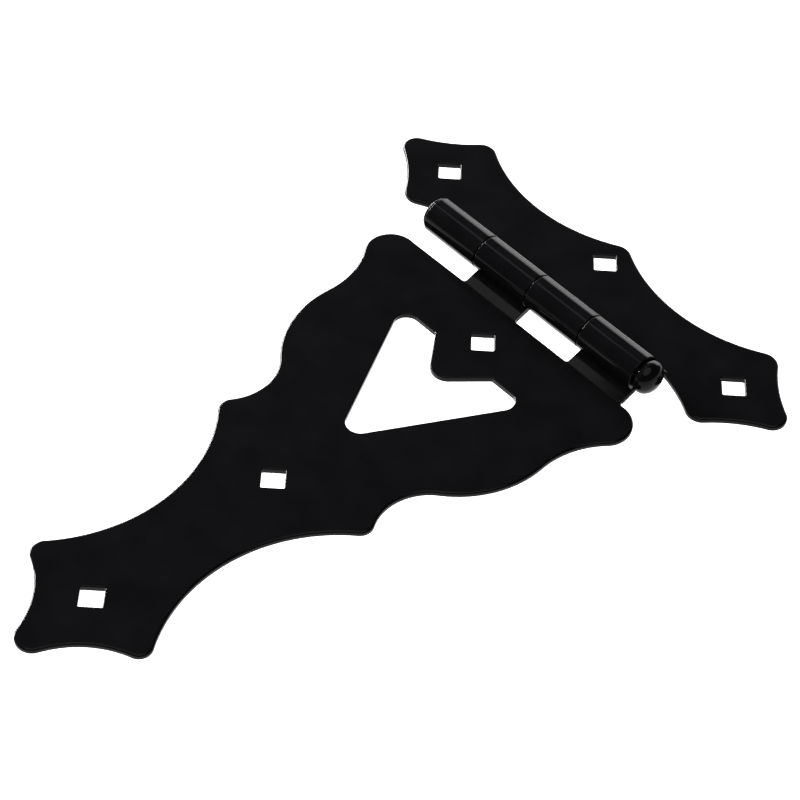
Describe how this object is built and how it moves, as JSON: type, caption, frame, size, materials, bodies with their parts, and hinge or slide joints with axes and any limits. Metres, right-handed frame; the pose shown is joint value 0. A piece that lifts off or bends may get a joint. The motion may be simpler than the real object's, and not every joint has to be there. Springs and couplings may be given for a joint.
{
  "type": "door hinge",
  "caption": "Black tee strap hinge with a long spear-pointed strap, a pierced heart-shaped window and a short cross leaf on a rolled barrel.",
  "frame": {"origin": "middle of the open hinge's outline, on the mounting face at the back of both leaves", "axes": "+X along the strap from its tip to the cross leaf, +Y along the pin towards its riveted end, +Z out of the mounting face"},
  "size_m": [0.2431, 0.1674, 0.0154],
  "materials": {
    "black_coat": "gloss powder coat on steel plate",
    "black_pin": "gloss coat on steel pin"
  },
  "bodies": {
    "cross": {"cross_leaf": "black_coat", "hinge_pin": "black_pin"},
    "strap": {"strap_leaf": "black_coat"}
  },
  "joints": [
    {"name": "pin_turn", "type": "hinge", "parent": "cross", "child": "strap", "pos_m": [0.07955, 0, 0.0094], "axis": [0, 1, 0], "range_deg": [-88, 197]}
  ]
}
